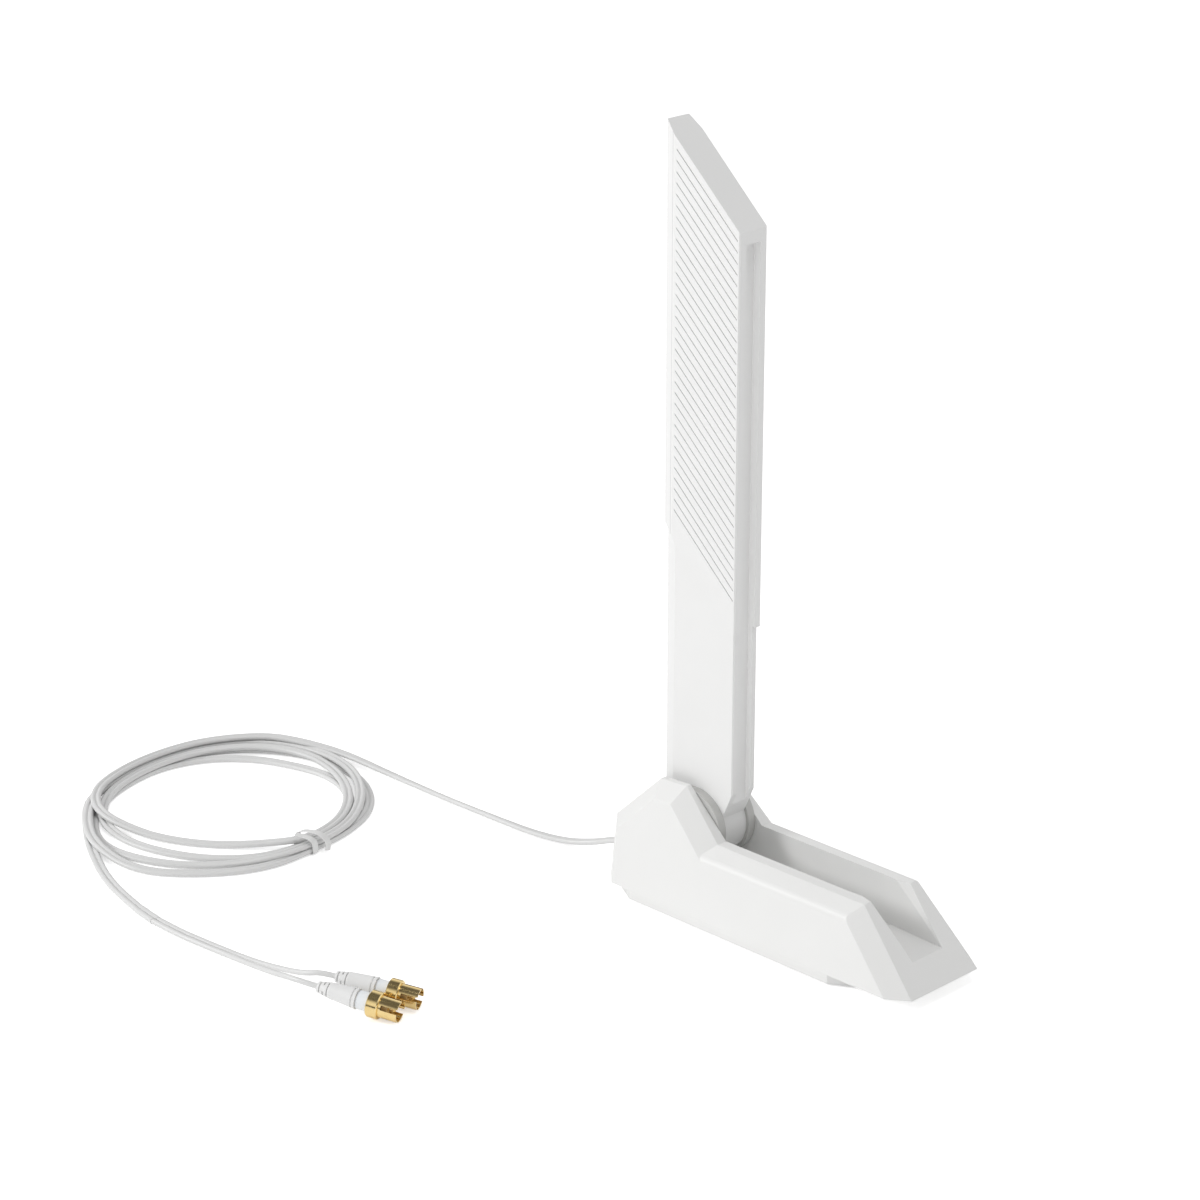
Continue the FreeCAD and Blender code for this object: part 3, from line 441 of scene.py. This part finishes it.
# Twin lead.
# Two thin white coaxial leads extruded side by side as one flat cord. It leaves the grommet, drops to the
# floor, lies in four loose turns that a tie holds on one side, and runs on to the split sleeve.
COAX_RADIUS = 0.0009
WEB_HALF = 0.5 * COAX_RADIUS
LEAD_ARC = 256
ARC_POINTS = 12
DIE_LINES = (30.0, 40.0, 1.0)
DIE_LINE_DEPTH = 0.00002
DIE_LINE_STRENGTH = 0.25
JACKET_GLOSS = (0.34, 0.46)
LEAD_ROUTE = [
    (0.0, 0.0697, 0.0095),
    (-0.0002, 0.0775, 0.008),
    (-0.0009, 0.0865, 0.0042),
    (-0.0036, 0.097, 0.0018),
    (-0.0064, 0.1105, 0.0014),
    (-0.0074, 0.129, 0.0015),
    (-0.0082, 0.154, 0.0015),
    (-0.0078, 0.183, 0.0015),
    (-0.0086, 0.207, 0.0026),
    (-0.0153, 0.2245, 0.0042),
]
LEAD_RUN = 0.165
LEAD_ROLL = 32.0
COIL_MIDDLE = (-0.063, 0.2015)
COIL_START = 40.0
COIL_STEP = 22.5
COIL_TURNS = [
    [(53.8, 4.5), (51.0, 4.65), (47.9, 4.65), (47.4, 4.65),
     (49.2, 4.65), (47.2, 4.4), (38.0, 1.5), (33.8, 0.95),
     (32.8, 0.95), (35.2, 1.6), (43.9, 3.6), (41.6, 3.0),
     (40.1, 2.85), (40.2, 2.85), (42.4, 3.0), (46.4, 3.1)],
    [(48.2, 2.9), (46.4, 2.85), (44.0, 2.8), (43.6, 2.8),
     (45.0, 2.8), (46.6, 1.9), (45.2, 0.95), (43.7, 0.95),
     (44.4, 0.95), (45.3, 1.1), (43.7, 1.4), (41.7, 1.1),
     (40.4, 0.95), (40.6, 0.95), (40.2, 0.95), (38.8, 0.95)],
    [(40.6, 0.95), (42.8, 0.95), (43.8, 0.95), (43.6, 0.95),
     (45.8, 0.95), (50.0, 0.95), (54.0, 0.95), (52.2, 0.95),
     (50.2, 0.95), (49.6, 2.2), (47.4, 3.25), (45.6, 2.9),
     (43.9, 2.6), (45.2, 2.75), (48.6, 2.8), (52.0, 2.6)],
    [(53.8, 2.6), (51.0, 2.75), (47.9, 2.8), (47.4, 2.8),
     (49.4, 2.8), (51.6, 2.85), (56.8, 2.85), (60.2, 1.0),
     (56.2, 0.95), (53.3, 0.95), (47.4, 1.4), (46.4, 1.1),
     (47.6, 0.95), (47.8, 0.95), (48.4, 0.95), (49.2, 0.95)],
    [(49.6, 0.95), (49.2, 0.95), (47.9, 0.95), (47.8, 0.95),
     (52.2, 0.95)],
]
TAIL_ROUTE = [
    (-0.1148, 0.2162, 0.00095),
    (-0.1225, 0.2025, 0.00095),
    (-0.13, 0.187, 0.00095),
    (-0.1348, 0.1715, 0.00095),
    (-0.1376, 0.1585, 0.00115),
]


def coil_places():
    """The loose turns from the lead on: radii and heights in millimetres, a line for each quarter turn."""
    places = []
    for turn in COIL_TURNS:
        for step, (radius, height) in enumerate(turn):
            angle = math.radians(COIL_START + COIL_STEP * step)
            x = COIL_MIDDLE[0] + radius / 1000 * math.cos(angle)
            y = COIL_MIDDLE[1] + radius / 1000 * math.sin(angle)
            places.append((x, y, height / 1000))
    return places


def smooth_line(name, route):
    """The points of a smooth curve that a route's points control."""
    curve = bpy.data.curves.new(name, "CURVE")
    curve.dimensions = "3D"
    curve.resolution_u = 10
    spline = curve.splines.new("NURBS")
    spline.points.add(len(route) - 1)
    for point, place in zip(spline.points, route):
        point.co = (*place, 1)
    spline.order_u = 3
    spline.use_endpoint_u = True
    holder = bpy.data.objects.new(name, curve)
    bpy.context.scene.collection.objects.link(holder)
    line = bpy.data.meshes.new_from_object(holder.evaluated_get(bpy.context.evaluated_depsgraph_get()))
    places = [vertex.co.copy() for vertex in line.vertices]
    bpy.data.objects.remove(holder)
    bpy.data.curves.remove(curve)
    bpy.data.meshes.remove(line)
    return places


def lead_roll(travelled):
    """The flat lead's roll: level at the base and in the coil, tipped to one side half way between them."""
    share = min(travelled / LEAD_RUN, 1.0)
    return math.radians(LEAD_ROLL) * math.sin(math.pi * share) ** 2


def level_roll(travelled):
    return 0.0


def extrusion(name, places, outline, side=None, roll=level_roll):
    """Carries a closed (across, up) outline along a line, its width level or on one side but for its roll."""
    build = bmesh.new()
    chart = build.loops.layers.uv.new("along")
    rings = []
    runs = []
    travelled = 0.0
    for index, place in enumerate(places):
        before = places[max(index - 1, 0)]
        after = places[min(index + 1, len(places) - 1)]
        along = (after - before).normalized()
        across = along.cross(Vector((0, 0, 1))) if side is None else side - along * along.dot(side)
        across.normalize()
        up = across.cross(along)
        travelled += (place - before).length
        runs.append(travelled)
        lean = Quaternion(along, roll(travelled))
        across, up = lean @ across, lean @ up
        rings.append([build.verts.new(place + across * a + up * b) for a, b in outline])
    count = len(outline)
    for index in range(len(rings) - 1):
        for corner in range(count):
            following = (corner + 1) % count
            face = build.faces.new([rings[index][corner], rings[index][following],
                                    rings[index + 1][following], rings[index + 1][corner]])
            marks = ((index, corner), (index, corner + 1), (index + 1, corner + 1), (index + 1, corner))
            for loop, (ring, mark) in zip(face.loops, marks):
                loop[chart].uv = (runs[ring], mark / count)
    build.faces.new(reversed(rings[0]))
    build.faces.new(rings[-1])
    bmesh.ops.recalc_face_normals(build, faces=build.faces)
    mesh = bpy.data.meshes.new(name)
    build.to_mesh(mesh)
    build.free()
    return mesh


def twin_outline():
    """Two round leads side by side with a shallow groove between them."""
    right = []
    for step in range(ARC_POINTS):
        angle = math.radians(-LEAD_ARC / 2 + LEAD_ARC * step / (ARC_POINTS - 1))
        right.append((COAX_RADIUS * (1 + math.cos(angle)), COAX_RADIUS * math.sin(angle)))
    left = [(-across, -up) for across, up in right]
    return right + [(0.0, WEB_HALF)] + left + [(0.0, -WEB_HALF)]


def cord_jacket(name, dark, light):
    """Smooth extruded jacket: a soft gloss with long faint die lines and a slow change of tone."""
    material, tree, shader = blank_material(name)
    chart = tree.nodes.new("ShaderNodeUVMap")
    chart.uv_map = "along"
    squeeze = tree.nodes.new("ShaderNodeMapping")
    squeeze.inputs["Scale"].default_value = DIE_LINES
    lines = tree.nodes.new("ShaderNodeTexNoise")
    lines.inputs["Scale"].default_value = 1.0
    lines.inputs["Detail"].default_value = 3.0
    tree.links.new(chart.outputs["UV"], squeeze.inputs["Vector"])
    tree.links.new(squeeze.outputs["Vector"], lines.inputs["Vector"])
    two_tone(tree, lines.outputs["Fac"], dark, light, shader.inputs["Base Color"])
    spread(tree, lines.outputs["Fac"], JACKET_GLOSS[0], JACKET_GLOSS[1], shader.inputs["Roughness"])
    raise_bump(tree, lines.outputs["Fac"], DIE_LINE_DEPTH, DIE_LINE_STRENGTH, shader)
    return material


twin_jacket = cord_jacket("twin_jacket", dark=(0.66, 0.66, 0.656), light=(0.73, 0.73, 0.727))
twin_line = smooth_line("twin_lead_line", LEAD_ROUTE + coil_places() + TAIL_ROUTE)
twin_mesh = extrusion("twin_cord", twin_line, twin_outline(), roll=lead_roll)
twin_cord = new_piece("twin_cord", twin_mesh, twin_jacket, "base")
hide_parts("twin_lead", "cord_coil", "twin_tail")


# Coil tie.
# A narrow strap of white plastic that holds the turns together on the near side.
# It is wound loosely round them one and a half times, with both ends left free.
TIE_ROUTE = [
    (-0.0716, 0.1585, 0.0066),
    (-0.0698, 0.156, 0.0062),
    (-0.0686, 0.1524, 0.0054),
    (-0.0685, 0.1519, 0.0026),
    (-0.0685, 0.1519, 0.0002),
    (-0.0684, 0.157, 0.0002),
    (-0.0682, 0.1622, 0.0002),
    (-0.068, 0.1623, 0.0026),
    (-0.0676, 0.1618, 0.0056),
    (-0.0666, 0.157, 0.0068),
    (-0.0652, 0.153, 0.0066),
    (-0.0642, 0.1505, 0.0046),
    (-0.0644, 0.15, 0.0028),
    (-0.0648, 0.1502, 0.0012),
]
STRAP_HALF_WIDTH = 0.0012
STRAP_FLAT_HALF = 0.9 * STRAP_HALF_WIDTH
STRAP_HALF_THICKNESS = 0.00018
strap_outline = [
    (STRAP_HALF_WIDTH, 0.0),
    (STRAP_FLAT_HALF, STRAP_HALF_THICKNESS),
    (-STRAP_FLAT_HALF, STRAP_HALF_THICKNESS),
    (-STRAP_HALF_WIDTH, 0.0),
    (-STRAP_FLAT_HALF, -STRAP_HALF_THICKNESS),
    (STRAP_FLAT_HALF, -STRAP_HALF_THICKNESS),
]
tie_plastic = moulding("tie_plastic", dark=(0.72, 0.72, 0.715), light=(0.78, 0.78, 0.775),
                       gloss=(0.36, 0.46), grain_scale=2600.0, grain_depth=0.00003)
tie_mesh = extrusion("tie_strap", smooth_line("tie_line", TIE_ROUTE), strap_outline, Vector((1, 0, 0)))
tie_strap = new_piece("tie_strap", tie_mesh, tie_plastic, "base")
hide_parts("coil_tie")


# Split sleeve.
# A short white skin of the same plastic as the lead's jacket.
# It is shrunk tightly over the place where the twin lead parts.
SLEEVE_ROUTE = [
    Vector((-0.13757, 0.1587, 0.00115)),
    Vector((-0.1383, 0.1536, 0.00115)),
    Vector((-0.139, 0.1487, 0.0012)),
]
SLEEVE_SWELL = 1.1
sleeve_outline = [(across * SLEEVE_SWELL, up * SLEEVE_SWELL) for across, up in twin_outline()]
sleeve_mesh = extrusion("split_skin", SLEEVE_ROUTE, sleeve_outline)
split_skin = new_piece("split_skin", sleeve_mesh, twin_jacket, "base")
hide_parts("split_sleeve")


# Single leads.
# The parted halves of the twin lead, in the same white jacket.
# Each runs along the floor to its own plug, and the plug's raised boot lifts its end.
SINGLE_SIDES = 16
SINGLE_ROUTES = {
    "front": [
        (-0.13994, 0.14883, 0.00125),
        (-0.14, 0.1365, 0.00095),
        (-0.1391, 0.1245, 0.00095),
        (-0.1386, 0.1125, 0.0014),
        (-0.1401, 0.1006, 0.0032),
        (-0.1418, 0.088, 0.0056),
        (-0.1422, 0.078, 0.0073),
        (-0.141576, 0.072148, 0.007607),
        (-0.1396, 0.0676, 0.006969),
    ],
    "rear": [
        (-0.13806, 0.14857, 0.00125),
        (-0.138, 0.1375, 0.00095),
        (-0.1371, 0.1255, 0.00095),
        (-0.1362, 0.1145, 0.001),
        (-0.1359, 0.1045, 0.0016),
        (-0.1358, 0.0946, 0.0029),
        (-0.1359, 0.0848, 0.0048),
        (-0.1354, 0.0784, 0.0062),
        (-0.133446, 0.073321, 0.007607),
        (-0.1312, 0.0689, 0.006969),
    ],
}
single_outline = []
for step in range(SINGLE_SIDES):
    turn = math.radians(360 / SINGLE_SIDES * step)
    single_outline.append((COAX_RADIUS * math.cos(turn), COAX_RADIUS * math.sin(turn)))
for end, route in SINGLE_ROUTES.items():
    line = smooth_line("single_line_" + end, route)
    name = "single_cord_" + end
    single = new_piece(name, extrusion(name, line, single_outline), twin_jacket, "base")
    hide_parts("single_lead_" + end)


# Plugs.
# Push-on coaxial plugs: a soft white boot, a plain gold-plated collar, a sprung sleeve split by slots,
# and an amber insulator round the centre contact. The boot is moulded over the crimped lead.
gold_plate = plated("gold_plate", dark=(0.78, 0.57, 0.24), light=(0.9, 0.71, 0.36),
                    gloss=(0.14, 0.24), streak_scale=2200.0)
insulator_resin = moulding("insulator_resin", dark=(0.5, 0.33, 0.13), light=(0.6, 0.43, 0.2),
                           gloss=(0.4, 0.5), grain_scale=3000.0, grain_depth=0.00002)
NECK_START = 0.0138
NECK_TONE = (0.83, 0.86, 0.89)


def boot_finish(name, tail, along):
    """The boot's rubber, with a cooler white on the hard neck that the plug is crimped in."""
    material = moulding(name, **BOOT_RUBBER)
    tree = material.node_tree
    place = tree.nodes.new("ShaderNodeTexCoord")
    offset = tree.nodes.new("ShaderNodeVectorMath")
    offset.operation = "SUBTRACT"
    offset.inputs[1].default_value = tail
    tree.links.new(place.outputs["Object"], offset.inputs[0])
    station = tree.nodes.new("ShaderNodeVectorMath")
    station.operation = "DOT_PRODUCT"
    station.inputs[1].default_value = along
    tree.links.new(offset.outputs["Vector"], station.inputs[0])
    neck = tree.nodes.new("ShaderNodeMath")
    neck.operation = "GREATER_THAN"
    neck.inputs[1].default_value = NECK_START
    tree.links.new(station.outputs["Value"], neck.inputs[0])
    retint(tree, neck.outputs["Value"], NECK_TONE, tree.nodes["Principled BSDF"])
    return material


for end, route in SINGLE_ROUTES.items():
    plug_axis = (Vector(route[-1]) - Vector(route[-2])).normalized()
    dress(boot_finish("boot_" + end, route[-1], plug_axis), "plug_boot_" + end)
    dress(gold_plate, "plug_collar_" + end, "plug_sleeve_" + end, "plug_contact_" + end)
    dress(insulator_resin, "plug_insulator_" + end)


# Studio.
# A plain white floor that glows a little, a white room that glossy surfaces reflect in bands, two soft
# lights from the left and from above, and the photograph's camera.
FLOOR_DARK = (0.93, 0.93, 0.93)
FLOOR_LIGHT = (0.95, 0.95, 0.95)
FLOOR_CLOUD_SCALE = 2.0
FLOOR_REACH = 6.0
FLOOR_HEIGHT = -0.0001
GLOW_ON_PART = 0.15
GLOW_IN_VIEW = 0.48
ROOM_LIGHT = 0.55
ROOM_FLOOR = (0.12, 0.06)
ROOM_CEILING = (0.85, 0.22)
ROOM_BANDS = ((0.32, 2.0), (0.62, 1.6))
LIGHT_AIM = (-0.02, 0.02, 0.08)
CAMERA_PLACE = (-0.756687, -0.67129, 0.497703)
CAMERA_BACK = Vector((-0.661, -0.661, 0.3551))
floor_material, floor_tree, floor_shader = blank_material("studio_floor")
floor_grain = floor_tree.nodes.new("ShaderNodeGroup")
floor_grain.node_tree = grain_group
floor_grain.inputs["Cloud Scale"].default_value = FLOOR_CLOUD_SCALE
two_tone(floor_tree, floor_grain.outputs["Cloud"], FLOOR_DARK, FLOOR_LIGHT,
         floor_shader.inputs["Base Color"])
floor_shader.inputs["Roughness"].default_value = 0.9
floor_shader.inputs["Emission Color"].default_value = (1, 1, 1, 1)
floor_seen = floor_tree.nodes.new("ShaderNodeLightPath")
floor_glow = floor_tree.nodes.new("ShaderNodeMapRange")
floor_glow.inputs["To Min"].default_value = GLOW_ON_PART
floor_glow.inputs["To Max"].default_value = GLOW_IN_VIEW
floor_tree.links.new(floor_seen.outputs["Is Camera Ray"], floor_glow.inputs["Value"])
floor_tree.links.new(floor_glow.outputs["Result"], floor_shader.inputs["Emission Strength"])
floor_mesh = bpy.data.meshes.new("studio_floor")
floor_corners = [(-FLOOR_REACH, -FLOOR_REACH, FLOOR_HEIGHT), (FLOOR_REACH, -FLOOR_REACH, FLOOR_HEIGHT),
                 (FLOOR_REACH, FLOOR_REACH, FLOOR_HEIGHT), (-FLOOR_REACH, FLOOR_REACH, FLOOR_HEIGHT)]
floor_mesh.from_pydata(floor_corners, [], [(0, 1, 2, 3)])
floor_mesh.materials.append(floor_material)
studio_floor = bpy.data.objects.new("studio_floor", floor_mesh)
bpy.context.scene.collection.objects.link(studio_floor)

world = bpy.data.worlds.new("studio")
world.use_nodes = True
studio_tree = world.node_tree
background = studio_tree.nodes["Background"]
background.inputs["Strength"].default_value = ROOM_LIGHT
seen_by = studio_tree.nodes.new("ShaderNodeLightPath")
towards = studio_tree.nodes.new("ShaderNodeTexCoord")
compass = studio_tree.nodes.new("ShaderNodeSeparateXYZ")
studio_tree.links.new(towards.outputs["Generated"], compass.inputs["Vector"])
room = studio_tree.nodes.new("ShaderNodeValToRGB")
for stop, (height, glow) in zip(room.color_ramp.elements, (ROOM_FLOOR, ROOM_CEILING)):
    stop.color = (glow, glow, glow, 1)
    stop.position = height
for height, glow in ROOM_BANDS:
    band = room.color_ramp.elements.new(height)
    band.color = (glow, glow, glow, 1)
studio_tree.links.new(compass.outputs["Z"], room.inputs["Fac"])
mirrored = studio_tree.nodes.new("ShaderNodeMix")
mirrored.data_type = "RGBA"
mirrored.inputs["A"].default_value = (1, 1, 1, 1)
studio_tree.links.new(seen_by.outputs["Is Glossy Ray"], mirrored.inputs["Factor"])
studio_tree.links.new(room.outputs["Color"], mirrored.inputs["B"])
studio_tree.links.new(mirrored.outputs["Result"], background.inputs["Color"])
bpy.context.scene.world = world
bpy.context.scene.view_settings.view_transform = "Standard"


def softbox(name, place, aim, size, power):
    light = bpy.data.lights.new(name, "AREA")
    light.size = size
    light.energy = power
    holder = bpy.data.objects.new(name, light)
    holder.location = place
    holder.rotation_euler = (Vector(aim) - Vector(place)).to_track_quat("-Z", "Y").to_euler()
    bpy.context.scene.collection.objects.link(holder)


softbox("softbox_left", place=(-1.45, 1.25, 0.9), aim=LIGHT_AIM, size=0.5, power=17.0)
softbox("softbox_above", place=(-0.1, -0.35, 1.7), aim=LIGHT_AIM, size=0.7, power=6.0)

camera = bpy.data.cameras.new("photo_camera")
camera.lens = 105.0
camera.sensor_width = 36.0
camera.clip_start = 0.05
camera_holder = bpy.data.objects.new("photo_camera", camera)
camera_holder.location = CAMERA_PLACE
camera_holder.rotation_euler = (-CAMERA_BACK).to_track_quat("-Z", "Y").to_euler()
bpy.context.scene.collection.objects.link(camera_holder)
bpy.context.scene.camera = camera_holder
